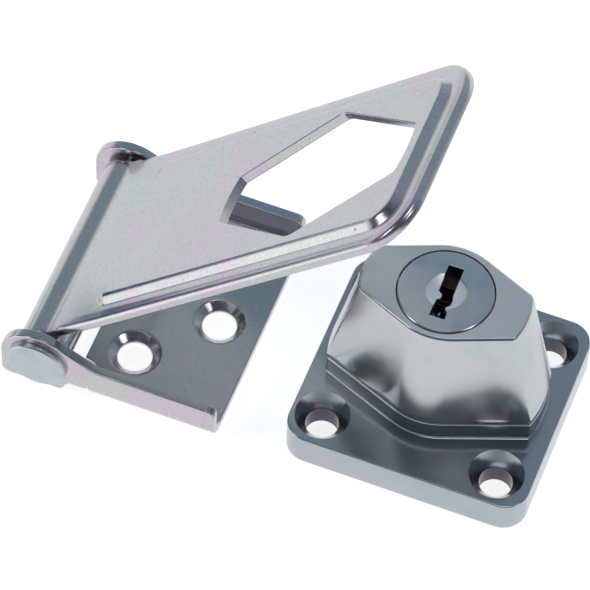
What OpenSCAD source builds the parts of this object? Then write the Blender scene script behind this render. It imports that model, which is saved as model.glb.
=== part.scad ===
// Keyed locking hasp: a hinged steel strap with a six-sided slot, closed over a
// die-cast lock whose tapering head turns a quarter turn to trap the strap.
// X runs along the strap, Y along the hinge pin, Z up from the mounting surface.
// The origin is the centre of the hinge plate's base, on the mounting surface.

/* [Sheet steel] */
// Thickness of the strap and of the hinge plate
sheet = 1.6; // [1.2:0.1:2]
// Space between one piece and the next where neither slides on the other
gap = 0.05; // [0.02:0.01:0.1]
// Radial clearance of a part that turns on another
running = 0.06; // [0.02:0.01:0.09]

/* [Strap] */
// Angle of the strap above the mounting surface
strap_open = 46; // [0:1:170]
// Width of the strap
strap_w = 35; // [33:0.2:38]
// Length from the hinge pin's axis to the strap's end
strap_reach = 83.2; // [81:0.1:90]
// Radius of the strap's two free corners
strap_corner = 8; // [6:0.5:9]
// Height of the raised panel's top above the pin's axis, strap closed
panel_top = 3.8; // [3.4:0.1:5]
// Height of the raised panel above the flat rim
panel_rise = 1.3; // [0.8:0.1:1.5]
// Width of the flat rim round the raised panel
rim_w = 2.1; // [1.5:0.1:3]
// Width of the sloping wall between the rim and the panel
slope_w = 1.9; // [1.2:0.1:2.5]
// Distance from the pin's axis to the start of the flat rim
rim_start = 14.5; // [12:0.5:18]
// Distance from the pin's axis to where the panel reaches its full height
panel_start = 11; // [9:0.5:14]

/* [Slot] */
// Distance from the pin's axis to the slot's centre
slot_reach = 57.5; // [57:0.1:58]
// Length of the slot over its two arcs
slot_len = 39.8; // [39.4:0.1:41]
// Width of the slot between its parallel sides
slot_flats = 22.5; // [22.2:0.1:23]
// Width of the slot's ends
slot_end_w = 9; // [8:0.2:10]
// Radius of the slot's two blunt corners
slot_vertex_r = 3; // [1:0.5:6]

/* [Hinge] */
// Diameter of the rivet that is the hinge pin
pin_d = 5.2; // [4:0.1:5.6]
// Height of the pin's axis above the mounting surface
pin_z = 5.9; // [5.6:0.1:7]
// Diameter of the rivet's heads
rivet_d = 9.7; // [8:0.1:11]
// Thickness of the rivet's heads
rivet_t = 1; // [0.6:0.1:1.5]
// Radius of the round top of each ear
ear_r = 6.25; // [5.8:0.05:7.5]
// Side play between the strap and each ear
ear_play = 0.95; // [0.5:0.05:1.2]

/* [Hinge plate] */
// Length of the plate's base
plate_l = 24; // [22:0.5:30]
// Distance from the pin's axis to the base's rear edge
plate_setback = 5.4; // [5.2:0.1:7]
// Height of the side flanges
flange_h = 7.8; // [7:0.1:9]
// Outer radius of the bend between base and flange
bend_r = 3.4; // [2.6:0.1:4]
// Radius of the round relief in each rear corner of the base
relief_r = 3.6; // [2.5:0.1:4]
// Distance along the strap between the screw pair and the single screw
screw_row = 10.2; // [9:0.1:12]
// Distance between the two screws of the pair
screw_pair = 20.7; // [18:0.1:22]
// Diameter of the hinge plate's screw holes
plate_hole_d = 5.4; // [4.4:0.1:5.6]
// Diameter of their countersinks at the top
plate_sink_d = 8.3; // [7.4:0.1:8.8]
// Depth of their countersinks
plate_sink = 1.1; // [0.8:0.1:1.1]

/* [Lock base] */
// Distance from the hinge pin's axis to the lock's axis
lock_reach = 58.9; // [58.5:0.1:59]
// Length of the lock's plate along the strap
lock_l = 39.4; // [38.5:0.1:44]
// How far the middle of the lock's plate lies beyond the lock's axis
lock_shift = 0.4; // [0:0.1:0.6]
// Width of the lock's plate
lock_w = 36.3; // [35:0.1:42]
// Thickness of the lock's plate
lock_t = 6; // [5.8:0.1:6.3]
// Radius of the plate's corners
lock_corner = 4; // [2:0.5:7]
// Distance between the screw holes along the strap
lock_pitch_x = 28.6; // [28:0.1:30]
// Distance between the screw holes across the strap
lock_pitch_y = 25.4; // [24.8:0.1:27]
// Diameter of the lock's screw holes
lock_hole_d = 5.3; // [4.4:0.1:5.6]
// Diameter of their countersinks at the top
lock_sink_d = 8.7; // [7.6:0.1:9]
// Depth of their countersinks
lock_sink = 2.4; // [1.5:0.1:3.5]
// Height of the boss that fills the slot
boss_h = 3.7; // [3.5:0.1:4]
// Length of the boss and of the head's foot over their end arcs
boss_len = 34.8; // [34:0.1:35]
// Width of the boss between its parallel sides
boss_flats = 21.1; // [20.8:0.1:21.2]
// Width of the boss's ends
boss_end_w = 9.6; // [8.8:0.1:10]

/* [Lock head] */
// Height of the head's top above the mounting surface
head_top = 30.8; // [30:0.1:31]
// Gap between the boss and the head
seam = 0.2; // [0.1:0.05:0.3]
// Height of the head's straight foot
skirt_h = 1.2; // [0.8:0.1:1.6]
// Length of the head's top over its end arcs
top_len = 26.5; // [25:0.1:27]
// Width of the head's top between its parallel sides
top_flats = 17.6; // [17.4:0.1:18.4]
// Width of the ends of the head's top
top_end_w = 8.6; // [8:0.1:9.4]
// Radius of the two blunt corners of the head's top
top_vertex_r = 10.5; // [9:0.5:12]

/* [Key plug] */
// Diameter of the plug's collar, flush in the head's top
collar_d = 14.8; // [14:0.1:15]
// Height of the collar
collar_h = 2.7; // [2.3:0.1:3.2]
// Diameter of the plug's body
plug_d = 11.8; // [11.2:0.1:12]
// Outer diameter of the fixed barrel round the plug
barrel_d = 14; // [13.6:0.1:14.2]
// Diameter of the dish round the keyway
dish_d = 6.5; // [5:0.1:8]
// Depth of the dish
dish = 0.6; // [0.3:0.1:0.9]
// Height of the keyway, across the plug
keyway_h = 9.6; // [8:0.1:9.8]
// Width of the keyway
keyway_w = 2.4; // [1.8:0.1:2.8]
// Diameter of the cross pin between head and collar
drive_pin_d = 1.8; // [1.4:0.1:2]

/* [Wafers] */
// Distance from one wafer to the next
wafer_pitch = 2.6; // [2.3:0.1:2.7]
// Thickness of a wafer
wafer_t = 0.9; // [0.7:0.05:1]
// Width of a wafer
wafer_w = 5.4; // [5:0.1:5.8]
// Travel of a wafer out of the plug
wafer_out = 0.8; // [0.5:0.1:0.9]
// Wire diameter of a wafer's spring
wire_d = 0.25; // [0.2:0.01:0.3]
// Outer diameter of a wafer's spring
spring_d = 1.4; // [1.2:0.05:1.5]

/* [Under the lock] */
// Thickness of the barrel's flange
barrel_flange_t = 1.4; // [1:0.1:1.6]
// Diameter of the barrel's flange
barrel_flange_d = 18; // [17:0.1:19]
// Thickness of the cam plate
cam_t = 1.4; // [1:0.1:1.5]
// Radius of the cam plate's lobe
lobe_r = 12; // [11:0.1:12.5]
// Angle that the lobe takes up
lobe_angle = 28; // [20:1:36]
// Turn of the head from open to locked
head_turn = 90; // [80:1:95]
// Side of the plug's square tail
tail_w = 5.5; // [5:0.1:6]
// Diameter of the retaining screw's thread
screw_d = 3; // [2.5:0.1:3.5]
// Diameter of its head
screw_head_d = 5.8; // [5:0.1:6.5]
// Thickness of its head
screw_head_t = 1.3; // [1:0.1:1.4]

/* [Hidden] */
$fn = 72;
eps = 0.01;
over = 1;

// Hinge, worked out from the sizes above
pin_x = -plate_l / 2 - plate_setback;
curl_r = pin_d / 2 + running + sheet;
ear_in = strap_w / 2 + ear_play;
ear_out = ear_in + sheet;
ear_foot = 4.3;
ear_foot_r = 1.3;
ear_slope = 29;
notch_end = 8;
notch_h = 2.4;
relief_inset = 2.4;
flange_corner = 1.5;

// Strap, seen closed, from the pin's axis
rim_top = panel_top - panel_rise;
neck_start = 75;
neck_leave = 32;
neck_valley_r = 3.4;
neck_fall = 6;
panel_front = 5;
panel_corner = 2.5;

// Lock, from the bottom up
lock_x = pin_x + lock_reach;
boss_top = lock_t + boss_h;
head_foot = boss_top + seam;
cone_foot = head_foot + skirt_h;
screw_floor = 0.4;
cam_z = screw_floor + screw_head_t;
barrel_z = cam_z + cam_t + 2 * gap;
barrel_seat = barrel_z + barrel_flange_t;
collar_z = head_top - collar_h;
barrel_top = collar_z - 4 * gap;
flange_flat = 0.89;
washer_t = 0.45;
washer_d = barrel_d + 4.6;
lobe_play = 2;
lobe_at = -90;
keyway_floor = 9;
keyway_shift = 0.25;
ward = 0.5;
screw_up = 6;
pin_depth = 2.8;
pin_sunk = 0.7;
top_chamfer = 0.15;

// Wafers, counted down from the top
WAFERS = 5;
wafer_top = collar_z - 2.5;
wafer_windows = [0.4, -0.5, 0.1, -0.8, 0.6];
window_w = 3;
window_h = 6.8;
spring_x = 3.9;
spring_end = 3.2;
lug_y = 1.4;
lug_l = 1;
coils = 6;
coil_steps = 8;
wire_sides = 5;

function wafer_z(i) = wafer_top - i * wafer_pitch;

// Six-sided outline with arcs at both ends: the long sides are tangent to a
// circle as wide as the distance between parallel sides, and the two blunt
// corners are rounded to vertex_r. The length runs along X.
function side_angle(len, flats, end_w) = 90 - asin(end_w / len) - acos(flats / len);

module lock_outline(len, flats, end_w, vertex_r) {
    slope = side_angle(len, flats, end_w);
    arc_y = (flats / 2 - vertex_r) / cos(slope);
    apex = flats / 2 / cos(slope);
    far = [len, apex - len * tan(slope)];
    arc = [for (a = [90 - slope : slope / 4 : 90 + slope])
               [vertex_r * cos(a), arc_y + vertex_r * sin(a)]];
    upper = concat([far], arc, [[-far.x, far.y]]);
    intersection() {
        circle(d = len);
        union() {
            polygon(concat(upper, [[-len, 0], [len, 0]]));
            mirror([0, 1]) polygon(concat(upper, [[-len, 0], [len, 0]]));
        }
    }
}

module rounded_plate(l, w, r, h) {
    linear_extrude(h) union() {
        square([l - 2 * r, w], center = true);
        square([l, w - 2 * r], center = true);
        for (x = [-1, 1], y = [-1, 1])
            translate([x * (l / 2 - r), y * (w / 2 - r)]) circle(r = r);
    }
}

// A countersunk hole down through a plate whose top is at z
module countersunk(z, hole_d, sink_d, sink) {
    translate([0, 0, -over]) cylinder(d = hole_d, h = z + 2 * over);
    translate([0, 0, z - sink]) cylinder(d1 = hole_d, d2 = sink_d, h = sink);
    translate([0, 0, z]) cylinder(d = sink_d, h = over);
}

// Hinge plate: one folded sheet. The walls are drawn in side view from the pin's
// axis: round ear, foot on the mounting surface, slope down to the flange.
module u_section(half_w, h, r) {
    translate([-half_w, r]) square([2 * half_w, h - r]);
    translate([r - half_w, 0]) square([2 * (half_w - r), h]);
    for (s = [-1, 1]) translate([s * (half_w - r), r]) circle(r = r);
}

module wall_profile() {
    end = plate_setback + plate_l;
    touch = [ear_r * sin(ear_slope), pin_z + ear_r * cos(ear_slope)];
    slope_end = touch.x + (touch.y - flange_h) / tan(ear_slope);
    difference() {
        union() {
            translate([0, pin_z]) circle(r = ear_r);
            translate([-ear_r, ear_foot_r]) square([ear_r + ear_foot, pin_z - ear_foot_r]);
            translate([ear_foot_r - ear_r, 0]) square([ear_r + ear_foot - 2 * ear_foot_r, pin_z]);
            for (x = [ear_foot_r - ear_r, ear_foot - ear_foot_r])
                translate([x, ear_foot_r]) circle(r = ear_foot_r);
            polygon([[0, pin_z], touch, [slope_end, flange_h], [end - flange_corner, flange_h],
                     [end - flange_corner, flange_h - flange_corner], [end, flange_h - flange_corner],
                     [end, bend_r], [notch_end, bend_r], [notch_end, notch_h], [0, notch_h]]);
            translate([end - flange_corner, flange_h - flange_corner]) circle(r = flange_corner);
        }
        translate([-2 * ear_r, -2 * ear_r]) square([4 * ear_r, 2 * ear_r]);
        translate([0, pin_z]) circle(d = pin_d);
    }
}

module hinge_plate() {
    color("#a9abb0") difference() {
        union() {
            difference() {
                translate([-plate_l / 2, 0, 0]) rotate([90, 0, 90])
                    linear_extrude(plate_l) difference() {
                        u_section(ear_out, bend_r + sheet / 2, bend_r);
                        translate([0, sheet]) u_section(ear_in, flange_h, bend_r - sheet);
                    }
                for (s = [-1, 1])
                    translate([-plate_l / 2, s * (ear_out - relief_inset), -over])
                        cylinder(r = relief_r, h = over + bend_r + sheet);
            }
            for (y = [ear_out, -ear_in])
                translate([pin_x, y, 0]) rotate([90, 0, 0]) linear_extrude(sheet) wall_profile();
        }
        for (s = [-1, 1])
            translate([-screw_row / 2, s * screw_pair / 2, 0])
                countersunk(sheet, plate_hole_d, plate_sink_d, plate_sink);
        translate([screw_row / 2, 0, 0]) countersunk(sheet, plate_hole_d, plate_sink_d, plate_sink);
    }
}

// Hinge pin: a rivet with a flat head closed over each ear
module hinge_pin() {
    edge = rivet_t / 3;
    color("#a7b2ba") translate([pin_x, 0, pin_z]) rotate([90, 0, 0]) {
        cylinder(d = pin_d, h = 2 * ear_out, center = true);
        for (side = [0, 1]) mirror([0, 0, side]) translate([0, 0, ear_out]) {
            cylinder(d = rivet_d, h = rivet_t - edge);
            translate([0, 0, rivet_t - edge])
                cylinder(d1 = rivet_d, d2 = rivet_d - 2 * edge, h = edge);
        }
    }
}

// Strap: the path of its top surface in side view, as [x, z, slope] points: round
// the pin, through the shallow valley behind the curl and down to the flat rim.
// The sheet's underside lies one sheet thickness below it, along the normal.
valley_x = (curl_r + neck_valley_r) * sin(neck_leave);
valley_z = (curl_r + neck_valley_r) * cos(neck_leave);
fall_x = valley_x - neck_valley_r * sin(neck_fall);
fall_z = valley_z - neck_valley_r * cos(neck_fall);
neck_path = concat(
    [for (a = [0 : 5])
        let (t = 90 - neck_start + a * (neck_start + neck_leave - 90) / 5)
        [curl_r * sin(t), curl_r * cos(t), -t]],
    [for (a = [1 : 4])
        let (t = neck_leave + a * (neck_fall - neck_leave) / 4)
        [valley_x - neck_valley_r * sin(t), valley_z - neck_valley_r * cos(t), -t]],
    [[rim_start - 1, rim_top + (fall_z - rim_top) / (rim_start - fall_x), -neck_fall / 2],
     [rim_start + 1, rim_top, 0],
     [strap_reach, rim_top, 0]]);

module sheet_profile(path) {
    under = [for (i = [len(path) - 1 : -1 : 0])
                [path[i].x + sheet * sin(path[i].z), path[i].y - sheet * cos(path[i].z)]];
    polygon(concat([for (p = path) [p.x, p.y]], under));
}

// The raised panel as one solid block with four sloping sides; set one sheet
// thickness lower, the same block hollows the underside
module raised_block() {
    top_end = strap_reach - rim_w - slope_w;
    corner = strap_corner - rim_w;
    hull() for (step = [0, 1]) {
        grow = step * slope_w;
        r = corner - slope_w + grow;
        half_w = strap_w / 2 - rim_w - slope_w + grow;
        start = panel_start - step * panel_front;
        translate([0, 0, panel_top - step * panel_rise - eps]) linear_extrude(eps)
            for (s = [-1, 1]) {
                translate([top_end + grow - r, s * (half_w - r)]) circle(r = r, $fn = 32);
                translate([start + panel_corner, s * (half_w - panel_corner)])
                    circle(r = panel_corner, $fn = 32);
            }
    }
}

module strap() {
    color("#cfcbc4") translate([pin_x, 0, pin_z]) rotate([0, -strap_open, 0]) difference() {
        union() {
            rotate([90, 0, 0]) cylinder(r = curl_r, h = strap_w, center = true);
            translate([0, strap_w / 2, 0]) rotate([90, 0, 0])
                linear_extrude(strap_w) sheet_profile(neck_path);
            raised_block();
        }
        rotate([90, 0, 0]) cylinder(r = pin_d / 2 + running, h = strap_w + 2 * over, center = true);
        translate([0, 0, -sheet]) raised_block();
        translate([slot_reach, 0, rim_top - 2 * sheet]) linear_extrude(4 * sheet)
            lock_outline(slot_len, slot_flats, slot_end_w, slot_vertex_r);
        for (s = [-1, 1])
            translate([strap_reach - strap_corner, s * (strap_w / 2 - strap_corner), -2 * sheet])
                corner_cutter(s);
    }
}

// What is left outside the strap's round corner
module corner_cutter(s) {
    linear_extrude(6 * sheet) difference() {
        translate([0, s > 0 ? 0 : -2 * strap_corner])
            square([2 * strap_corner, 2 * strap_corner]);
        circle(r = strap_corner);
    }
}

// Lock base: zinc casting with the boss on top and the cam's pocket underneath
module lobe_sector(r, from, to) {
    intersection() {
        circle(r = r);
        polygon([[0, 0], for (i = [0 : 4])
            let (a = from + i * (to - from) / 4) [2 * r * cos(a), 2 * r * sin(a)]]);
    }
}

module flange_disc(d, h) {
    intersection() {
        cylinder(d = d, h = h);
        translate([-d, -d / 2 * flange_flat, -over]) cube([2 * d, 2 * d, h + 2 * over]);
    }
}

module lock_base() {
    half_lobe = lobe_angle / 2 + lobe_play;
    color("#8b9499") translate([lock_x, 0, 0]) difference() {
        union() {
            translate([lock_shift, 0, 0]) rounded_plate(lock_l, lock_w, lock_corner, lock_t);
            linear_extrude(boss_top) lock_outline(boss_len, boss_flats, boss_end_w, boss_flats / 2);
        }
        for (x = [-1, 1], y = [-1, 1])
            translate([x * lock_pitch_x / 2, y * lock_pitch_y / 2, 0])
                countersunk(lock_t, lock_hole_d, lock_sink_d, lock_sink);
        cylinder(d = barrel_d + 2 * gap, h = boss_top + over);
        translate([0, 0, -over]) cylinder(d = barrel_flange_d + 2 * gap, h = over + barrel_z);
        translate([0, 0, barrel_z - eps]) flange_disc(barrel_flange_d + 2 * gap, barrel_flange_t + eps);
        translate([0, 0, -over]) linear_extrude(over + barrel_z)
            lobe_sector(lobe_r + 8 * gap, lobe_at - half_lobe, lobe_at + head_turn + half_lobe);
    }
}

// Lock barrel: fixed tube round the plug, with a window for the wafers on the
// side that they face when open and on the side that they face when locked
module lock_barrel() {
    window_z = wafer_z(WAFERS - 1) - wafer_t;
    window = [wafer_w + 8 * gap, barrel_d / 2, wafer_z(0) + wafer_t - window_z];
    color("#b8a15c") translate([lock_x, 0, 0]) difference() {
        union() {
            translate([0, 0, barrel_z]) cylinder(d = barrel_d, h = barrel_top - barrel_z);
            translate([0, 0, barrel_z]) flange_disc(barrel_flange_d, barrel_flange_t);
        }
        translate([0, 0, barrel_z - over]) cylinder(d = plug_d + 2 * running, h = head_top);
        for (turn = [0, head_turn]) rotate([0, 0, turn])
            translate([-window.x / 2, plug_d / 4, window_z]) cube([window.x, barrel_d, window.z]);
    }
}

module thrust_washer() {
    color("#c8c8c4") translate([lock_x, 0, boss_top]) difference() {
        cylinder(d = washer_d, h = washer_t);
        translate([0, 0, -over]) cylinder(d = barrel_d + 4 * gap, h = washer_t + 2 * over);
    }
}

// Lock head: straight foot as the boss, then four flat sides and two conical
// ends drawn in to the smaller top
module lock_head() {
    color("#b9bdbd") translate([lock_x, 0, 0]) difference() {
        union() {
            translate([0, 0, head_foot]) linear_extrude(skirt_h)
                lock_outline(boss_len, boss_flats, boss_end_w, boss_flats / 2);
            hull() {
                translate([0, 0, cone_foot - eps]) linear_extrude(eps)
                    lock_outline(boss_len, boss_flats, boss_end_w, boss_flats / 2);
                translate([0, 0, head_top - eps]) linear_extrude(eps)
                    lock_outline(top_len, top_flats, top_end_w, top_vertex_r);
            }
        }
        cylinder(d = barrel_d + 2 * running, h = head_top + over);
        translate([0, 0, collar_z - gap]) cylinder(d = collar_d + 6 * gap, h = collar_h + over);
        cylinder(d = washer_d + 6 * gap, h = boss_top + washer_t + gap);
        translate([0, 0, head_top - top_chamfer])
            cylinder(d1 = collar_d + 6 * gap, d2 = collar_d + 6 * gap + 2 * top_chamfer, h = top_chamfer + eps);
        drive_pin_hole();
    }
}

module drive_pin_hole() {
    translate([0, 0, head_top - collar_h / 2]) rotate([0, -90, 0])
        translate([0, 0, collar_d / 2 - pin_depth]) cylinder(d = drive_pin_d, h = boss_len);
}

// Lock plug: collar, body with one slot for each wafer, keyway and square tail
module keyway_profile() {
    half = keyway_w / 2;
    h = keyway_h / 2;
    polygon([[-half, h], [half, h], [half, 0], [half + keyway_shift, -1], [half + keyway_shift, -2],
             [half - ward / 2, -2.6], [half - ward / 2, -3.2], [half + keyway_shift, -3.6],
             [half + keyway_shift, -h], [keyway_shift - half, -h], [keyway_shift - half, -1.6],
             [ward + keyway_shift - half, -1.1], [ward + keyway_shift - half, -0.4], [-half, 0.1]]);
}

module wafer_slot(z) {
    translate([-wafer_w / 2 - gap, -plug_d, z - wafer_t / 2 - gap])
        cube([wafer_w + 2 * gap, 2 * plug_d, wafer_t + 2 * gap]);
    translate([0, -spring_end, z - wafer_t / 2 - gap])
        cube([spring_x + spring_d / 2 + gap, 2 * spring_end, wafer_t + 2 * gap]);
    translate([spring_x, spring_end, z]) rotate([90, 0, 0])
        cylinder(d = spring_d + 2 * gap, h = 2 * spring_end);
}

module lock_plug() {
    dish_r = (dish_d * dish_d / 4 + dish * dish) / (2 * dish);
    color("#8797a3") translate([lock_x, 0, 0]) difference() {
        union() {
            translate([0, 0, collar_z]) cylinder(d = collar_d, h = collar_h - top_chamfer);
            translate([0, 0, head_top - top_chamfer])
                cylinder(d1 = collar_d, d2 = collar_d - 2 * top_chamfer, h = top_chamfer);
            translate([0, 0, barrel_z]) cylinder(d = plug_d, h = collar_z - barrel_z + eps);
            translate([-tail_w / 2, -tail_w / 2, cam_z]) cube([tail_w, tail_w, barrel_z - cam_z + eps]);
        }
        translate([0, 0, head_top - dish + dish_r]) sphere(r = dish_r);
        translate([0, 0, keyway_floor]) linear_extrude(head_top) keyway_profile();
        translate([0, 0, cam_z - over]) cylinder(d = screw_d, h = screw_up + over + gap);
        for (i = [0 : WAFERS - 1]) wafer_slot(wafer_z(i));
        drive_pin_hole();
    }
}

module drive_pin() {
    length = top_len / 2 - collar_d / 2 + pin_depth - pin_sunk;
    color("#9a9da0") translate([lock_x, 0, head_top - collar_h / 2]) rotate([0, -90, 0])
        translate([0, 0, collar_d / 2 - pin_depth]) cylinder(d = drive_pin_d, h = length);
}

// Cam plate: its lobe runs in the base's pocket and stops the head at both ends
module cam_plate() {
    color("#a8a8a0") translate([lock_x, 0, cam_z]) difference() {
        linear_extrude(cam_t) union() {
            circle(d = plug_d + 2 * sheet);
            lobe_sector(lobe_r, lobe_at - lobe_angle / 2, lobe_at + lobe_angle / 2);
        }
        translate([-tail_w / 2 - gap, -tail_w / 2 - gap, -over])
            cube([tail_w + 2 * gap, tail_w + 2 * gap, cam_t + 2 * over]);
    }
}

module retaining_screw() {
    color("#9a9da0") translate([lock_x, 0, screw_floor]) difference() {
        union() {
            cylinder(d = screw_head_d, h = screw_head_t);
            cylinder(d = screw_d, h = screw_head_t + screw_up);
        }
        for (turn = [0, 90]) rotate([0, 0, turn])
            translate([-screw_head_d / 3, -screw_head_t / 4, -over])
                cube([screw_head_d * 2 / 3, screw_head_t / 2, over + screw_head_t / 2]);
    }
}

// Wafer: slides across the plug, with a window for the key and a lug for its spring
module wafer(i) {
    color("#b89b4e") translate([lock_x, 0, wafer_z(i) - wafer_t / 2]) linear_extrude(wafer_t)
        difference() {
            union() {
                intersection() {
                    circle(d = plug_d - 2 * gap);
                    square([wafer_w, plug_d], center = true);
                }
                translate([0, lug_y]) square([spring_x + spring_d / 2 - gap, lug_l]);
            }
            translate([0, wafer_windows[i]]) square([window_w, window_h], center = true);
        }
}

// Wafer spring: a round wire wound into a coil along Y, pushing on the lug
module wafer_spring(i) {
    r = (spring_d - wire_d) / 2;
    rise = spring_end + lug_y - wire_d - 2 * gap;
    turns = coils * coil_steps;
    points = [for (k = [0 : turns], s = [0 : wire_sides - 1])
        let (a = 360 * k / coil_steps, b = 360 * s / wire_sides,
             d = r + wire_d / 2 * cos(b))
        [d * cos(a), rise * k / turns + wire_d / 2 * sin(b), d * sin(a)]];
    skin = [for (k = [0 : turns - 1], s = [0 : wire_sides - 1])
        let (p = k * wire_sides + s, q = k * wire_sides + (s + 1) % wire_sides)
        each [[p, p + wire_sides, q], [q, p + wire_sides, q + wire_sides]]];
    first = [for (s = [wire_sides - 1 : -1 : 0]) s];
    last = [for (s = [0 : wire_sides - 1]) turns * wire_sides + s];
    color("#c9c9c9")
        translate([lock_x + spring_x, gap + wire_d / 2 - spring_end, wafer_z(i)])
        polyhedron(points, concat(skin, [last, first]));
}

hinge_plate();
hinge_pin();
strap();
lock_base();
lock_barrel();
thrust_washer();
lock_head();
lock_plug();
drive_pin();
cam_plate();
retaining_screw();
wafer(0);  // wafer_1
wafer(1);  // wafer_2
wafer(2);  // wafer_3
wafer(3);  // wafer_4
wafer(4);  // wafer_5
wafer_spring(0);  // wafer_spring_1
wafer_spring(1);  // wafer_spring_2
wafer_spring(2);  // wafer_spring_3
wafer_spring(3);  // wafer_spring_4
wafer_spring(4);  // wafer_spring_5
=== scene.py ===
import math
import bpy
from mathutils import Matrix, Vector


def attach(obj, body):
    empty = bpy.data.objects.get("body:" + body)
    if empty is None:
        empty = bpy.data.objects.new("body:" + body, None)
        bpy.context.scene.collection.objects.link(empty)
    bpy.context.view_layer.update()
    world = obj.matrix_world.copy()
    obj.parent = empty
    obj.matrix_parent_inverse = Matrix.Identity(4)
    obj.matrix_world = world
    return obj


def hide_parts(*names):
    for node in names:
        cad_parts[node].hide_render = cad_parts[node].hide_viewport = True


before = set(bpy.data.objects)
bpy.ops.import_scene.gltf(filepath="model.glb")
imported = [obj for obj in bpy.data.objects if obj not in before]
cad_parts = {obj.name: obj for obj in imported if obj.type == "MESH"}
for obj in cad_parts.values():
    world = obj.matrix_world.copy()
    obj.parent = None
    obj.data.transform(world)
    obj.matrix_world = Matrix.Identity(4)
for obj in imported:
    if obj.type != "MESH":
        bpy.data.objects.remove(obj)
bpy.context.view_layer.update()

# Camera: a long lens well above the hasp, a little to the right of the hinge pin's
# line and tipped a touch, as the photograph was taken. All lengths are in metres.
mm = 0.001
photo_px = 590
focal_px = 4255.8
camera_aim = Vector((14.0, 10.15, 0.0)) * mm
camera_far = 676.8 * mm
camera_turn = math.radians(18.995)
camera_lift = math.radians(56.534)
camera_tip = math.radians(2.477)
camera_back = Vector((math.sin(camera_turn) * math.cos(camera_lift),
                      -math.cos(camera_turn) * math.cos(camera_lift), math.sin(camera_lift)))
level_right = Vector((math.cos(camera_turn), math.sin(camera_turn), 0.0))
level_up = camera_back.cross(level_right)
camera_right = level_right * math.cos(camera_tip) + level_up * math.sin(camera_tip)
camera_up = level_up * math.cos(camera_tip) - level_right * math.sin(camera_tip)
camera_lens = bpy.data.cameras.new("photo_camera")
camera_lens.sensor_fit = "HORIZONTAL"
camera_lens.sensor_width = 36.0
camera_lens.lens = focal_px / photo_px * 36.0
camera_lens.clip_start = 0.01
camera_lens.clip_end = 20.0
camera = bpy.data.objects.new("photo_camera", camera_lens)
bpy.context.scene.collection.objects.link(camera)
camera_axes = Matrix((camera_right, camera_up, camera_back)).transposed().to_4x4()
camera.matrix_world = Matrix.Translation(camera_aim + camera_back * camera_far) @ camera_axes
bpy.context.scene.camera = camera

# Hinge plate: one blank of 1.6 mm mild steel, folded up at both sides into flanges
# that end in the round ears for the rivet. Three countersunk holes are pressed in
# before folding, and the whole part is zinc plated and clear passivated.


def deselect():
    """Nothing selected and nothing in edit mode."""
    if bpy.context.object and bpy.context.object.mode == "EDIT":
        bpy.ops.object.mode_set(mode="OBJECT")
    bpy.ops.object.select_all(action="DESELECT")


def work_on(piece):
    """That piece alone is selected and active."""
    deselect()
    piece.select_set(True)
    bpy.context.view_layer.objects.active = piece


def apply_all(piece):
    """The piece's modifiers become its mesh."""
    work_on(piece)
    for modifier in list(piece.modifiers):
        bpy.ops.object.modifier_apply(modifier=modifier.name)


def merged_copy(cad_name, piece_name, near=0.002 * mm):
    """A copy of a CAD node with its loose triangles merged and its flats made whole."""
    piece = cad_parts[cad_name].copy()
    piece.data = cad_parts[cad_name].data.copy()
    piece.parent = None
    for key in list(piece.keys()):
        del piece[key]
    piece.name = piece.data.name = piece_name
    bpy.context.scene.collection.objects.link(piece)
    piece.hide_render = piece.hide_viewport = False
    work_on(piece)
    bpy.ops.object.mode_set(mode="EDIT")
    bpy.ops.mesh.select_all(action="SELECT")
    bpy.ops.mesh.customdata_custom_splitnormals_clear()
    bpy.ops.mesh.remove_doubles(threshold=near)
    bpy.ops.mesh.dissolve_limited(angle_limit=math.radians(0.6))
    bpy.ops.object.mode_set(mode="OBJECT")
    return piece


def edge_centre(mesh, edge):
    """The middle of an edge."""
    start, end = (mesh.vertices[i].co for i in edge.vertices)
    return (start + end) / 2


def round_edges(piece, width, steps=3, sharp=30, wanted=lambda centre: True, profile=0.5):
    """Every edge sharper than that angle, where wanted(its centre), is rounded to the width."""
    work_on(piece)
    bpy.ops.object.mode_set(mode="EDIT")
    bpy.ops.mesh.select_mode(type="EDGE")
    bpy.ops.mesh.select_all(action="DESELECT")
    bpy.ops.mesh.edges_select_sharp(sharpness=math.radians(sharp))
    bpy.ops.object.mode_set(mode="OBJECT")
    mesh = piece.data
    chosen = [edge.select and wanted(edge_centre(mesh, edge)) for edge in mesh.edges]
    for group in (mesh.vertices, mesh.polygons):
        group.foreach_set("select", [False] * len(group))
    mesh.edges.foreach_set("select", chosen)
    bpy.ops.object.mode_set(mode="EDIT")
    bpy.ops.mesh.bevel(offset=width, segments=steps, affect="EDGES", clamp_overlap=False, profile=profile)
    bpy.ops.object.mode_set(mode="OBJECT")


def keep_flats_flat(piece, crease=180):
    """Smooth shading up to the crease angle, in which the large faces keep their own direction."""
    work_on(piece)
    bpy.ops.object.shade_smooth_by_angle(angle=math.radians(crease))
    flats = piece.modifiers.new("flat_faces_stay_flat", "WEIGHTED_NORMAL")
    flats.mode = "FACE_AREA_WITH_ANGLE"
    flats.weight = 50
    flats.keep_sharp = True
    apply_all(piece)


def dress(piece, metal, body, slot, *cad_names):
    """The piece gets its metal, rides on its body and stands for its CAD nodes."""
    piece.data.materials.clear()
    piece.data.materials.append(metal)
    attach(piece, body)
    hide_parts(*cad_names)


def srgb(hex_colour):
    """An sRGB hex colour as the linear RGBA that a node takes."""
    value = hex_colour.lstrip("#")
    parts = [int(value[i:i + 2], 16) / 255 for i in (0, 2, 4)]
    return tuple(p / 12.92 if p <= 0.04045 else ((p + 0.055) / 1.055) ** 2.4 for p in parts) + (1.0,)


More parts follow.
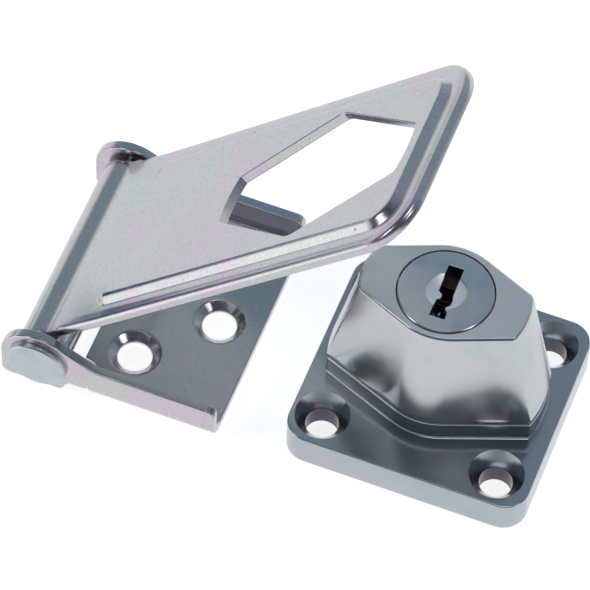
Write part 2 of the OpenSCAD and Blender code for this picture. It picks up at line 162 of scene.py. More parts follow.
def add_node(material, kind, settings=None, **inputs):
    """One node with its settings, where an input is a value or another node's output."""
    tree = material.node_tree
    made = tree.nodes.new(kind)
    for name, value in (settings or {}).items():
        setattr(made, name, value)
    for name, value in inputs.items():
        key = int(name[1:]) if name[0] == "_" and name[1:].isdigit() else name.replace("_", " ")
        if isinstance(value, bpy.types.NodeSocket):
            tree.links.new(value, made.inputs[key])
        else:
            made.inputs[key].default_value = value
    return made


def new_finish(name):
    """A new material and its Principled shader, which every metal and paper starts from."""
    material = bpy.data.materials.new(name)
    material.use_nodes = True
    return material, material.node_tree.nodes["Principled BSDF"]


def set_ramp(ramp, stops):
    """The colour stops of a ramp, as (place, hex colour)."""
    band = ramp.color_ramp.elements
    while len(band) < len(stops):
        band.new(0.5)
    for element, (place, colour) in zip(band, stops):
        element.position = place
        element.color = srgb(colour)


def edge_mask(material, reach):
    """1 on an edge and 0 beyond its reach, from how far a rounded normal departs."""
    rounded = add_node(material, "ShaderNodeBevel", {"samples": 4}, Radius=reach).outputs["Normal"]
    own = add_node(material, "ShaderNodeNewGeometry").outputs["Normal"]
    agreed = add_node(material, "ShaderNodeVectorMath", {"operation": "DOT_PRODUCT"}, _0=rounded, _1=own)
    return add_node(material, "ShaderNodeMapRange", Value=agreed.outputs["Value"], From_Min=0.995,
                    From_Max=0.90, To_Min=0.0, To_Max=1.0).outputs["Result"]


# Zinc-plated steel, clear passivated: pale warm grey with a faint rainbow film that
# drifts from lilac to green, satin from the rolled sheet under it, brighter on worn
# edges and with a few dark pinholes.
plated_steel, shader = new_finish("zinc_plated_steel")
place = add_node(plated_steel, "ShaderNodeTexCoord").outputs["Object"]
# Film: clouds where the passivation is thicker or thinner
film_cloud = 16.13 * mm
film_cells = add_node(plated_steel, "ShaderNodeTexNoise", Vector=place, Scale=1 / film_cloud,
                      Detail=3.0, Roughness=0.55, Distortion=0.6)
film = add_node(plated_steel, "ShaderNodeValToRGB", Fac=film_cells.outputs["Fac"])
set_ramp(film, [(0.30, "#c3cbc8"), (0.42, "#cbccca"), (0.50, "#c9c8ca"), (0.58, "#d2c5d0"),
                (0.70, "#bcc7d3")])
# Grain of the rolled sheet, drawn wider than the real one, which is too fine to show
grain_width = 0.4348 * mm
grain = add_node(plated_steel, "ShaderNodeTexNoise", Vector=place, Scale=1 / grain_width, Detail=3.0,
                 Roughness=0.65)
grain_tone = add_node(plated_steel, "ShaderNodeMapRange", Value=grain.outputs["Fac"],
                      From_Min=0.3, From_Max=0.7, To_Min=0.88, To_Max=1.06)
grained = add_node(plated_steel, "ShaderNodeMix", {"data_type": "RGBA", "blend_type": "MULTIPLY"},
                   _0=1.0, _6=film.outputs["Color"], _7=grain_tone.outputs["Result"])
# Edges rubbed bright
rubbed = edge_mask(plated_steel, 0.4 * mm)
rubbed_part = add_node(plated_steel, "ShaderNodeMath", {"operation": "MULTIPLY"}, _0=rubbed, _1=0.22)
worn = add_node(plated_steel, "ShaderNodeMix", {"data_type": "RGBA"},
                _0=rubbed_part.outputs[0], _6=grained.outputs[2], _7=srgb("#e2e2e0"))
# Pinholes in the plating
pinhole_cell = 0.7143 * mm
pin_cells = add_node(plated_steel, "ShaderNodeTexNoise", Vector=place, Scale=1 / pinhole_cell, Detail=1.0)
pin_at = add_node(plated_steel, "ShaderNodeMapRange", Value=pin_cells.outputs["Fac"],
                  From_Min=0.76, From_Max=0.80, To_Min=0.0, To_Max=0.75)
pinned = add_node(plated_steel, "ShaderNodeMix", {"data_type": "RGBA"},
                  _0=pin_at.outputs["Result"], _6=worn.outputs[2], _7=srgb("#4c4a4a"))
# Edges torn dark here and there by the blanking die
tear_length = 0.6667 * mm
tear_cells = add_node(plated_steel, "ShaderNodeTexNoise", Vector=place, Scale=1 / tear_length, Detail=2.0,
                      Roughness=0.7)
tear_at = add_node(plated_steel, "ShaderNodeMapRange", Value=tear_cells.outputs["Fac"],
                   From_Min=0.56, From_Max=0.64, To_Min=0.0, To_Max=0.6)
torn_part = add_node(plated_steel, "ShaderNodeMath", {"operation": "MULTIPLY"},
                     _0=rubbed, _1=tear_at.outputs["Result"])
torn = add_node(plated_steel, "ShaderNodeMix", {"data_type": "RGBA"},
                _0=torn_part.outputs[0], _6=pinned.outputs[2], _7=srgb("#50545c"))
plated_steel.node_tree.links.new(torn.outputs[2], shader.inputs["Base Color"])
shader.inputs["Metallic"].default_value = 1.0
satin = add_node(plated_steel, "ShaderNodeMapRange", Value=film_cells.outputs["Fac"],
                 From_Min=0.3, From_Max=0.7, To_Min=0.17, To_Max=0.23)
plated_steel.node_tree.links.new(satin.outputs["Result"], shader.inputs["Roughness"])
grain_relief = add_node(plated_steel, "ShaderNodeBump", Height=grain.outputs["Fac"], Strength=0.27,
                        Distance=0.02 * mm)
plated_steel.node_tree.links.new(grain_relief.outputs["Normal"], shader.inputs["Normal"])

hinge_plate = merged_copy("hinge_plate", "hinge_plate_sheet")
round_edges(hinge_plate, 0.22 * mm)
keep_flats_flat(hinge_plate)
# Painted shade: the faces that look up, the flat base among them, are painted darker and blue green
hinge_top_shade_steel = plated_steel.copy()
hinge_top_shade_steel.name = "zinc_plated_steel_painted_top_shade"
hinge_top_shade_shader = hinge_top_shade_steel.node_tree.nodes["Principled BSDF"]
facing = add_node(hinge_top_shade_steel, "ShaderNodeSeparateXYZ",
                  Vector=add_node(hinge_top_shade_steel, "ShaderNodeTexCoord").outputs["Normal"]).outputs["Z"]
flat_top = add_node(hinge_top_shade_steel, "ShaderNodeMapRange", Value=facing, From_Min=0.86, From_Max=0.985,
                    To_Min=0.0, To_Max=0.5).outputs["Result"]
hinge_top_painted_shade = add_node(hinge_top_shade_steel, "ShaderNodeMix", {"data_type": "RGBA"}, _0=flat_top,
                  _6=hinge_top_shade_shader.inputs["Base Color"].links[0].from_socket, _7=srgb("#8fa7ad"))
hinge_top_shade_steel.node_tree.links.new(hinge_top_painted_shade.outputs[2], hinge_top_shade_shader.inputs["Base Color"])
dress(hinge_plate, hinge_top_shade_steel, "mounted", "plated_steel", "hinge_plate")

# Hinge pin: a mild steel rivet put through both ears and the strap's curl, then
# closed cold to a flat head over each ear. It is zinc plated like the sheet.
rivet_axis = Vector((-17.4, 0.0, 5.9)) * mm


def ring_scale(spacing):
    """The scale at which a wave pattern's rings or bands have that spacing."""
    return math.pi / 10 / spacing


# Bright zinc plate: satin blue grey, cloudy, with faint rings left by the heading
# tool, which are drawn wider apart than the real ones so that they show
rivet_steel, shader = new_finish("zinc_plated_rivet_steel")
place = add_node(rivet_steel, "ShaderNodeTexCoord").outputs["Object"]
centred = add_node(rivet_steel, "ShaderNodeMapping", Vector=place, Location=tuple(-rivet_axis)).outputs[0]
turned_rings = add_node(rivet_steel, "ShaderNodeTexWave", {"wave_type": "RINGS", "rings_direction": "Y"},
                        Vector=centred, Scale=ring_scale(0.748 * mm), Distortion=2.5, Detail=2.0,
                        Detail_Scale=1.5)
rivet_cloud = 4.167 * mm
cloud = add_node(rivet_steel, "ShaderNodeTexNoise", Vector=place, Scale=1 / rivet_cloud, Detail=4.0)
rivet_tone = add_node(rivet_steel, "ShaderNodeValToRGB", Fac=cloud.outputs["Fac"])
set_ramp(rivet_tone, [(0.35, "#b4bdc3"), (0.5, "#c0c8cb"), (0.65, "#c9cccb")])
rubbed_part = add_node(rivet_steel, "ShaderNodeMath", {"operation": "MULTIPLY"},
                       _0=edge_mask(rivet_steel, 0.3 * mm), _1=0.5)
worn = add_node(rivet_steel, "ShaderNodeMix", {"data_type": "RGBA"},
                _0=rubbed_part.outputs[0], _6=rivet_tone.outputs["Color"], _7=srgb("#e2e4e4"))
rivet_steel.node_tree.links.new(worn.outputs[2], shader.inputs["Base Color"])
shader.inputs["Metallic"].default_value = 1.0
dull = add_node(rivet_steel, "ShaderNodeMapRange", Value=cloud.outputs["Fac"],
                From_Min=0.3, From_Max=0.7, To_Min=0.24, To_Max=0.38)
rivet_steel.node_tree.links.new(dull.outputs["Result"], shader.inputs["Roughness"])
ring_relief = add_node(rivet_steel, "ShaderNodeBump", Height=turned_rings.outputs["Fac"], Strength=0.08,
                       Distance=0.02 * mm)
rivet_steel.node_tree.links.new(ring_relief.outputs["Normal"], shader.inputs["Normal"])

hinge_pin = merged_copy("hinge_pin", "hinge_rivet")
round_edges(hinge_pin, 0.12 * mm)
keep_flats_flat(hinge_pin)
dress(hinge_pin, rivet_steel, "mounted", "rivet_steel", "hinge_pin")

# Strap: 1.6 mm steel sheet, blanked with the six-sided slot and two round corners,
# pressed into a die that raises the panel above a flat rim, and curled round the
# rivet. It is modelled flat from the pin's axis, X along the strap, then opened.
strap_open = math.radians(46)
strap_sheet = 1.6 * mm
strap_half = 17.5 * mm
strap_end = 83.2 * mm
strap_corner = 8.0 * mm
strap_play = 0.15 * mm
rim_height = 2.7 * mm
curl_outer = 4.26 * mm
curl_leaves = math.radians(32)
neck_from = curl_outer * math.sin(curl_leaves)
# Distance in from the strap's edge and height there over the rim, both in mm, through
# the soft foot, the sloping wall and the soft top edge of the pressed panel
press_profile = [(0.9, -0.14), (1.25, -0.08), (1.5, -0.035), (1.75, -0.01), (2.0, 0.0), (2.74, 0.0),
                 (2.79, 0.01), (2.84, 0.045), (3.05, 0.24), (3.3, 0.49), (3.55, 0.735), (3.68, 0.85),
                 (3.8, 0.94), (3.93, 1.02), (4.08, 1.075), (4.25, 1.1), (4.5, 1.1)]
# Distance from the pin's axis and height of the sheet there, both in mm, along the
# neck from the curl down to the rim's level
neck_section = [(2.25, 3.61), (2.55, 3.45), (2.8, 3.335), (3.1, 3.21), (3.4, 3.105), (3.75, 3.01),
                (4.1, 2.945), (4.5, 2.91), (5.0, 2.895), (5.7, 2.885), (6.5, 2.87), (8.5, 2.83),
                (10.5, 2.78), (12.5, 2.73), (13.3, 2.715), (15.0, 2.7), (90.0, 2.7)]
# Where the raised panel's foot starts along the strap, and the radius of its corners
panel_start = 10.6
panel_corner = 5.5


def along(points, at):
    """The height of a line of points at that distance."""
    if at < points[0][0]:
        return points[0][1]
    for (a, low), (b, high) in zip(points, points[1:]):
        if at <= b:
            share = min(max((at - a) / (b - a), 0.0), 1.0)
            return low + (high - low) * share
    return points[-1][1]


def ease(share):
    """A share between 0 and 1, eased at both ends."""
    share = min(max(share, 0.0), 1.0)
    return share * share * (3 - 2 * share)


def pick(piece, wanted, kind="verts"):
    """Selects the vertices, edges or faces of a mesh for which wanted(centre) holds."""
    bpy.ops.object.mode_set(mode="OBJECT")
    mesh = piece.data
    for group in (mesh.vertices, mesh.edges, mesh.polygons):
        group.foreach_set("select", [False] * len(group))
    if kind == "verts":
        for vertex in mesh.vertices:
            vertex.select = wanted(vertex.co)
    elif kind == "edges":
        for edge in mesh.edges:
            edge.select = wanted(edge_centre(mesh, edge))
    else:
        for face in mesh.polygons:
            face.select = wanted(face.center)
    bpy.ops.object.mode_set(mode="EDIT")
    bpy.ops.mesh.select_mode(type={"verts": "VERT", "edges": "EDGE", "faces": "FACE"}[kind])


deselect()
bpy.ops.mesh.primitive_plane_add(size=1, location=(0, 0, 0))
strap = bpy.context.object
strap.name = strap.data.name = "strap_sheet"
bpy.ops.object.mode_set(mode="EDIT")
blank_start = -14 * mm
blank_height = rim_height - 0.2 * mm
bpy.ops.transform.resize(value=(strap_end - blank_start, 2 * strap_half, 1))
bpy.ops.transform.translate(value=((strap_end + blank_start) / 2, 0, blank_height))
pick(strap, lambda c: c.x > strap_end - 1 * mm)
bpy.ops.mesh.bevel(offset=strap_corner, segments=14, affect="VERTICES", clamp_overlap=False)
bpy.ops.mesh.select_mode(type="FACE")
bpy.ops.mesh.select_all(action="SELECT")
ring_from = 0.0
for ring_at, ring_height in press_profile:
    bpy.ops.mesh.inset(thickness=(ring_at - ring_from) * mm, depth=0, use_even_offset=True)
    ring_from = ring_at
    bpy.ops.object.mode_set(mode="OBJECT")
    for face in strap.data.polygons:
        if face.select:
            for i in face.vertices:
                strap.data.vertices[i].co.z = rim_height + ring_height * mm
    bpy.ops.object.mode_set(mode="EDIT")
bpy.ops.mesh.select_all(action="SELECT")
bpy.ops.mesh.bisect(plane_co=(neck_from, 0, 0), plane_no=(1, 0, 0), clear_inner=True)
# Rows of points across the neck and lines of points along it, closest where it bends
neck_end = 16 * mm
neck_rows = [2.55, 2.8, 3.1, 3.4, 3.75, 4.1, 4.5, 5.0, 5.7, 6.5, 7.5, 8.5, 9.5, 10.5, 11.5, 12.5,
             13.0, 13.34, 13.4, 13.44, 13.65, 13.9, 14.15, 14.28, 14.4, 14.53, 14.68, 14.85, 15.1,
             15.6, 16.0]
for row in neck_rows:
    bpy.ops.mesh.select_all(action="SELECT")
    bpy.ops.mesh.bisect(plane_co=(row * mm, 0, 0), plane_no=(1, 0, 0))
for line in (-12.0, -10.5, -9.0, -7.5, -6.0, 0.0, 6.0, 7.5, 9.0, 10.5, 12.0):
    pick(strap, lambda c: c.x < neck_end, "faces")
    bpy.ops.mesh.bisect(plane_co=(0, line * mm, 0), plane_no=(0, 1, 0))


def neck_height(reach, side):
    """Height of the sheet's top at the neck, with the round corners at the panel's start."""
    from_side, from_start = strap_half / mm - side, reach - panel_start
    if max(from_side, from_start) < panel_corner:
        inward = panel_corner - math.hypot(panel_corner - from_side, panel_corner - from_start)
    else:
        inward = min(from_side, from_start)
    rim_fall = min(along(press_profile, from_side), 0.0) * 0.5 * ease((reach - 4) / 12)
    return along(neck_section, reach) + max(along(press_profile, inward), 0.0) + rim_fall


bpy.ops.object.mode_set(mode="OBJECT")
# How far the sheet leans at each point of the neck, so that its underside keeps the gauge
neck_lean = {}
for vertex in strap.data.vertices:
    reach = vertex.co.x / mm
    if vertex.co.x < neck_end + 0.1 * mm:
        vertex.co.z = neck_height(reach, abs(vertex.co.y) / mm) * mm
        fall = (along(neck_section, reach - 0.1) - along(neck_section, reach + 0.1)) / 0.2
        lean = curl_leaves if reach < neck_from / mm + 0.01 else math.atan(fall)
        neck_lean[tuple(round(c / mm, 3) for c in vertex.co)] = lean
bpy.ops.object.mode_set(mode="EDIT")
bpy.ops.mesh.select_all(action="SELECT")
bpy.ops.mesh.extrude_region_move(TRANSFORM_OT_translate={"value": (0, 0, -strap_sheet)})
bpy.ops.object.mode_set(mode="OBJECT")
for vertex in strap.data.vertices:
    if vertex.select:
        top = vertex.co + Vector((0, 0, strap_sheet))
        lean = neck_lean.get(tuple(round(c / mm, 3) for c in top), 0.0)
        vertex.co.x -= strap_sheet * math.sin(lean)
        vertex.co.z += strap_sheet * (1 - math.cos(lean))

# The curl: the sheet's end face is swept round the rivet and stops just under the neck
curl_turn = math.radians(317)
radial = Vector((math.cos(curl_leaves), 0, -math.sin(curl_leaves)))
pick(strap, lambda c: abs(c.dot(radial)) < 0.06 * mm and c.x < neck_from, "faces")
bpy.ops.mesh.spin(steps=40, angle=curl_turn, center=(0, 0, 0), axis=(0, 1, 0))
bpy.ops.mesh.select_all(action="SELECT")
bpy.ops.mesh.remove_doubles(threshold=0.003 * mm)
bpy.ops.mesh.normals_make_consistent(inside=False)
bpy.ops.object.mode_set(mode="OBJECT")

# The slot's punch: a disc as long as the slot, cut on the four long sides
slot_reach = 57.5 * mm
slot_length = 39.8 * mm
slot_flats = 22.5 * mm
slot_end = 9.0 * mm
slot_vertex = 3.0 * mm
slot_slope = math.pi / 2 - math.asin(slot_end / slot_length) - math.acos(slot_flats / slot_length)
deselect()
bpy.ops.mesh.primitive_circle_add(vertices=160, radius=slot_length / 2, fill_type="NGON",
                                  location=(0, 0, 0))
punch = bpy.context.object
punch.name = "slot_punch"
bpy.ops.object.mode_set(mode="EDIT")
for way_x in (-1, 1):
    for way_y in (-1, 1):
        side_normal = Vector((way_x * math.sin(slot_slope), way_y * math.cos(slot_slope), 0))
        bpy.ops.mesh.select_all(action="SELECT")
        bpy.ops.mesh.bisect(plane_co=side_normal * slot_flats / 2, plane_no=side_normal,
                            clear_outer=True)
pick(punch, lambda c: abs(c.x) < 0.05 * mm and abs(c.y) > slot_flats / 2)
bpy.ops.mesh.bevel(offset=slot_vertex * math.tan(slot_slope), segments=8, affect="VERTICES",
                   clamp_overlap=False)
bpy.ops.mesh.select_all(action="SELECT")
bpy.ops.mesh.extrude_region_move(TRANSFORM_OT_translate={"value": (0, 0, 8 * mm)})
bpy.ops.mesh.select_all(action="SELECT")
bpy.ops.mesh.normals_make_consistent(inside=False)
bpy.ops.transform.translate(value=(slot_reach, 0, 0))
bpy.ops.object.mode_set(mode="OBJECT")
cut = strap.modifiers.new("slot", "BOOLEAN")
cut.object = punch
cut.operation = "DIFFERENCE"
cut.solver = "EXACT"
apply_all(strap)
bpy.data.objects.remove(punch)


def on_rim_edge(centre):
    """On the top outer edge of the flat rim, where the blanking die rolled it over."""
    at_side = abs(abs(centre.y) - strap_half) < 0.02 * mm
    turned = math.hypot(centre.x - strap_end + strap_corner, abs(centre.y) - strap_half + strap_corner)
    at_end = centre.x > strap_end - strap_corner and (
        abs(turned - strap_corner) < 0.1 * mm or abs(centre.x - strap_end) < 0.02 * mm)
    return (at_side or at_end) and centre.z > 2.3 * mm and centre.x > 6 * mm


def at_slot_end(centre):
    """On the short arcs that end the slot, which the punch leaves sharp."""
    from_arc = abs(abs(centre.x - slot_reach) - slot_length / 2)
    return abs(centre.y) < slot_end / 2 + 0.05 * mm and from_arc < 1 * mm


round_edges(strap, 0.22 * mm, sharp=42, wanted=lambda c: not on_rim_edge(c) and not at_slot_end(c))
round_edges(strap, 0.75 * mm, steps=5, sharp=42, wanted=on_rim_edge)
# The wide flat round the slot is split, so that no face of it wraps round the hole
split_ways = [(slot_reach + step * mm, (1, 0, 0)) for step in (-19, 0, 19)] + [(0, (0, 1, 0))]
bpy.ops.object.mode_set(mode="EDIT")
for split_at, split_way in split_ways:
    bpy.ops.mesh.select_all(action="SELECT")
    bpy.ops.mesh.bisect(plane_co=Vector(split_way) * split_at, plane_no=split_way)
bpy.ops.object.mode_set(mode="OBJECT")
keep_flats_flat(strap, crease=50)
work_on(strap)
strap.rotation_euler = (0, -strap_open, 0)
strap.location = rivet_axis + Vector((0, strap_play, 0))
bpy.ops.object.transform_apply(location=True, rotation=True, scale=True)
dress(strap, plated_steel, "strap", "plated_steel", "strap")

# Lock base: a zinc die casting, nickel plated and polished to a cool grey mirror with
# a cloudy haze and a fine orange peel. Four countersunk holes take wood screws, and
# the low six-sided boss fills the strap's slot.
plated_zinc, shader = new_finish("nickel_plated_zinc_casting")
place = add_node(plated_zinc, "ShaderNodeTexCoord").outputs["Object"]
haze_cloud = 10.526 * mm
haze = add_node(plated_zinc, "ShaderNodeTexNoise", Vector=place, Scale=1 / haze_cloud, Detail=4.0,
                Roughness=0.6)
tone = add_node(plated_zinc, "ShaderNodeValToRGB", {"name": "tone"}, Fac=haze.outputs["Fac"])
set_ramp(tone, [(0.33, "#b2bbc1"), (0.5, "#bac0c5"), (0.67, "#c2c5c8")])
rubbed_part = add_node(plated_zinc, "ShaderNodeMath", {"operation": "MULTIPLY"},
                       _0=edge_mask(plated_zinc, 0.35 * mm), _1=0.15)
worn = add_node(plated_zinc, "ShaderNodeMix", {"data_type": "RGBA"},
                _0=rubbed_part.outputs[0], _6=tone.outputs["Color"], _7=srgb("#dcdedf"))
# Painted shade: darker in holes, seams and inner corners, where the casting shades itself
self_shade_occlusion = add_node(plated_zinc, "ShaderNodeAmbientOcclusion", {"samples": 12, "only_local": True},
                     Distance=9.0 * mm)
painted_shade_amount = add_node(plated_zinc, "ShaderNodeMapRange", Value=self_shade_occlusion.outputs["AO"],
                   From_Min=0.28, From_Max=0.58, To_Min=0.85, To_Max=0.0)
painted_shade_mix = add_node(plated_zinc, "ShaderNodeMix", {"data_type": "RGBA"},
                    _0=painted_shade_amount.outputs["Result"], _6=worn.outputs[2], _7=srgb("#4b4246"))
plated_zinc.node_tree.links.new(painted_shade_mix.outputs[2], shader.inputs["Base Color"])
shader.inputs["Metallic"].default_value = 0.92
polish = add_node(plated_zinc, "ShaderNodeMapRange", {"name": "polish"}, Value=haze.outputs["Fac"],
                  From_Min=0.3, From_Max=0.7, To_Min=0.13, To_Max=0.20)
plated_zinc.node_tree.links.new(polish.outputs["Result"], shader.inputs["Roughness"])
# Orange peel: the plating's slight waviness
peel_width = 1.4286 * mm
peel = add_node(plated_zinc, "ShaderNodeTexNoise", Vector=place, Scale=1 / peel_width, Detail=2.0)
peel_relief = add_node(plated_zinc, "ShaderNodeBump", Height=peel.outputs["Fac"], Strength=0.045,
                       Distance=0.05 * mm)
plated_zinc.node_tree.links.new(peel_relief.outputs["Normal"], shader.inputs["Normal"])

lock_base = merged_copy("lock_base", "lock_base_casting")
lock_axis = Vector((41.5, 0.0, 0.0)) * mm
# How far each of the four screw holes lies from the axis, along and across the strap
lock_hole_x = 14.3 * mm
lock_hole_y = 12.7 * mm


def off_axis(centre):
    """How far a point lies from the lock's axis."""
    return math.hypot(centre.x - lock_axis.x, centre.y - lock_axis.y)


def on_base_outline(centre):
    """On the base's upper edges, not in its bore or round the four screw holes."""
    to_hole = math.hypot(abs(centre.x - lock_axis.x) - lock_hole_x, abs(centre.y) - lock_hole_y)
    return off_axis(centre) > 10 * mm and centre.z > 1.8 * mm and to_hole > 4.6 * mm


round_edges(lock_base, 0.26 * mm, wanted=on_base_outline)
# The plate's flat top is split through the holes, so that no face of it wraps round one
bpy.ops.object.mode_set(mode="EDIT")
for side in (-1, 0, 1):
    for split_way, reach in ((Vector((1, 0, 0)), lock_hole_x), (Vector((0, 1, 0)), lock_hole_y)):
        bpy.ops.mesh.select_all(action="SELECT")
        bpy.ops.mesh.bisect(plane_co=lock_axis + split_way * side * reach, plane_no=split_way)
keep_flats_flat(lock_base, crease=35)
# The plate's flat top is painted darker: painted shade on the faces that look up
dark_zinc = plated_zinc.copy()
dark_zinc.name = "nickel_plated_zinc_plate_painted_shade"
dark_shader = dark_zinc.node_tree.nodes["Principled BSDF"]
facing = add_node(dark_zinc, "ShaderNodeSeparateXYZ",
                  Vector=add_node(dark_zinc, "ShaderNodeTexCoord").outputs["Normal"]).outputs["Z"]
flat_top = add_node(dark_zinc, "ShaderNodeMapRange", Value=facing, From_Min=0.86, From_Max=0.985,
                    To_Min=0.0, To_Max=0.12).outputs["Result"]
base_top_painted_shade = add_node(dark_zinc, "ShaderNodeMix", {"data_type": "RGBA"}, _0=flat_top,
                  _6=dark_shader.inputs["Base Color"].links[0].from_socket, _7=srgb("#6b7379"))
# The screw holes' walls are painted dark: painted shade inside the bores
place = add_node(dark_zinc, "ShaderNodeTexCoord").outputs["Object"]
centred = add_node(dark_zinc, "ShaderNodeMapping", Vector=place, Location=tuple(-lock_axis)).outputs[0]
one_corner = add_node(dark_zinc, "ShaderNodeVectorMath", {"operation": "ABSOLUTE"}, _0=centred).outputs[0]
from_hole = add_node(dark_zinc, "ShaderNodeVectorMath", {"operation": "SUBTRACT"}, _0=one_corner,
                     _1=(lock_hole_x, lock_hole_y, 0.0)).outputs[0]
from_hole = add_node(dark_zinc, "ShaderNodeVectorMath", {"operation": "MULTIPLY"}, _0=from_hole,
                     _1=(1.0, 1.0, 0.0)).outputs[0]
hole_reach = add_node(dark_zinc, "ShaderNodeVectorMath", {"operation": "LENGTH"}, _0=from_hole)
bore_painted_shade_amount = add_node(dark_zinc, "ShaderNodeMapRange", Value=hole_reach.outputs["Value"],
                   From_Min=2.70 * mm, From_Max=2.85 * mm, To_Min=0.85, To_Max=0.0).outputs["Result"]
bores_painted_shade = add_node(dark_zinc, "ShaderNodeMix", {"data_type": "RGBA"}, _0=bore_painted_shade_amount, _6=base_top_painted_shade.outputs[2],
                   _7=srgb("#463e45"))
dark_zinc.node_tree.links.new(bores_painted_shade.outputs[2], dark_shader.inputs["Base Color"])
dress(lock_base, dark_zinc, "mounted", "plated_zinc", "lock_base")

# Lock barrel: the fixed brass tube inside the head. It is turned from bar and held
# by its flange under the base; the wafers catch in its two windows.

# Turned brass, long tarnished: dark brown, with rings left by the tool, which are
# drawn wider apart than the real ones so that they show
brass, shader = new_finish("turned_brass")
place = add_node(brass, "ShaderNodeTexCoord").outputs["Object"]
tarnish_cloud = 3.846 * mm
tarnish = add_node(brass, "ShaderNodeTexNoise", Vector=place, Scale=1 / tarnish_cloud, Detail=4.0)
brass_tone = add_node(brass, "ShaderNodeValToRGB", Fac=tarnish.outputs["Fac"])
set_ramp(brass_tone, [(0.35, "#54493b"), (0.5, "#75654d"), (0.68, "#8d7c60")])
brass.node_tree.links.new(brass_tone.outputs["Color"], shader.inputs["Base Color"])
shader.inputs["Metallic"].default_value = 1.0
brass_dull = add_node(brass, "ShaderNodeMapRange", Value=tarnish.outputs["Fac"],
                      From_Min=0.3, From_Max=0.7, To_Min=0.28, To_Max=0.42)
brass.node_tree.links.new(brass_dull.outputs["Result"], shader.inputs["Roughness"])
tool_rings = add_node(brass, "ShaderNodeTexWave", {"bands_direction": "Z"}, Vector=place,
                      Scale=ring_scale(0.3491 * mm), Distortion=0.4)
tool_relief = add_node(brass, "ShaderNodeBump", Height=tool_rings.outputs["Fac"], Strength=0.1,
                       Distance=0.02 * mm)
brass.node_tree.links.new(tool_relief.outputs["Normal"], shader.inputs["Normal"])

lock_barrel = merged_copy("lock_barrel", "lock_barrel_tube")
keep_flats_flat(lock_barrel)
dress(lock_barrel, brass, "mounted", "brass", "lock_barrel")

# Thrust washer: a thin steel ring stamped from strip, laid on the boss so that the
# head turns on it and not on the casting.
thrust_washer = merged_copy("thrust_washer", "thrust_washer_ring")
round_edges(thrust_washer, 0.06 * mm, steps=2)
keep_flats_flat(thrust_washer)
dress(thrust_washer, rivet_steel, "mounted", "rivet_steel", "thrust_washer")

# Lock head: a second zinc casting with the boss's outline at its foot, drawn in to
# a smaller six-sided top. All its edges are rounded by the die and the polishing.

# The same plating buffed less: a satin haze scatters a part of the light.
satin_zinc = plated_zinc.copy()
satin_zinc.name = "satin_nickel_plated_zinc_casting"
set_ramp(satin_zinc.node_tree.nodes["tone"], [(0.33, "#c6cbcd"), (0.5, "#cfd1d1"), (0.67, "#d5d6d5")])
satin_zinc.node_tree.nodes["polish"].inputs["To Min"].default_value = 0.16
satin_zinc.node_tree.nodes["polish"].inputs["To Max"].default_value = 0.24
# Its flat top is painted paler than the sides, as painted light, and made duller
satin_shader = satin_zinc.node_tree.nodes["Principled BSDF"]
above = add_node(satin_zinc, "ShaderNodeSeparateXYZ",
                 Vector=add_node(satin_zinc, "ShaderNodeTexCoord").outputs["Object"]).outputs["Z"]
top_painted_light_and_dull = add_node(satin_zinc, "ShaderNodeMapRange", Value=above, From_Min=30.65 * mm, From_Max=30.75 * mm,
                  To_Min=0.0, To_Max=0.8).outputs["Result"]
top_painted_light_mix = add_node(satin_zinc, "ShaderNodeMix", {"data_type": "RGBA"}, _0=top_painted_light_and_dull,
                 _6=satin_shader.inputs["Base Color"].links[0].from_socket, _7=srgb("#e9ebee"))
satin_zinc.node_tree.links.new(top_painted_light_mix.outputs[2], satin_shader.inputs["Base Color"])
duller = add_node(satin_zinc, "ShaderNodeMix", {"data_type": "FLOAT"}, _0=top_painted_light_and_dull,
                  _2=satin_shader.inputs["Roughness"].links[0].from_socket, _3=0.5)
satin_zinc.node_tree.links.new(duller.outputs[0], satin_shader.inputs["Roughness"])

lock_head = merged_copy("lock_head", "lock_head_casting")
# The facets of the straight foot and of the cone don't meet point on point, so a
# narrow band between them is taken out and bridged after the edges are rounded
band_low = 10.9 * mm
band_high = 11.3 * mm
head_foot = 10.2 * mm
head_top = 30.7 * mm
bore_clear = 8.5 * mm
for level in (band_low, band_high):
    pick(lock_head, lambda c: off_axis(c) > bore_clear and head_foot < c.z < head_top, "faces")
    bpy.ops.mesh.bisect(plane_co=(0, 0, level), plane_no=(0, 0, 1))
pick(lock_head, lambda c: off_axis(c) > bore_clear and band_low < c.z < band_high, "faces")
bpy.ops.mesh.delete(type="FACE")


def on_head_outline(centre):
    """On the head's outer edges, not in its bore or round the drive pin's hole."""
    at_pin = centre.x < 29 * mm and abs(centre.y) < 1.5 * mm and centre.z > 27 * mm
    bore_edge = (8 if centre.z > 30 * mm else 9.9) * mm
    return not at_pin and off_axis(centre) > bore_edge


round_edges(lock_head, 0.45 * mm, steps=4, sharp=24, wanted=on_head_outline, profile=0.36)
work_on(lock_head)
bpy.ops.object.mode_set(mode="EDIT")
bpy.ops.mesh.select_all(action="DESELECT")
bpy.ops.mesh.select_mode(type="EDGE")
bpy.ops.mesh.select_non_manifold()
bpy.ops.mesh.bridge_edge_loops()
bpy.ops.object.mode_set(mode="OBJECT")
keep_flats_flat(lock_head)
dress(lock_head, satin_zinc, "head", "plated_zinc", "lock_head")

# Lock plug: zinc, turned and plated, flush in the head's top. A dish is milled round
# the mouth of the keyway to lead the key in; behind it sit the five wafer slots.

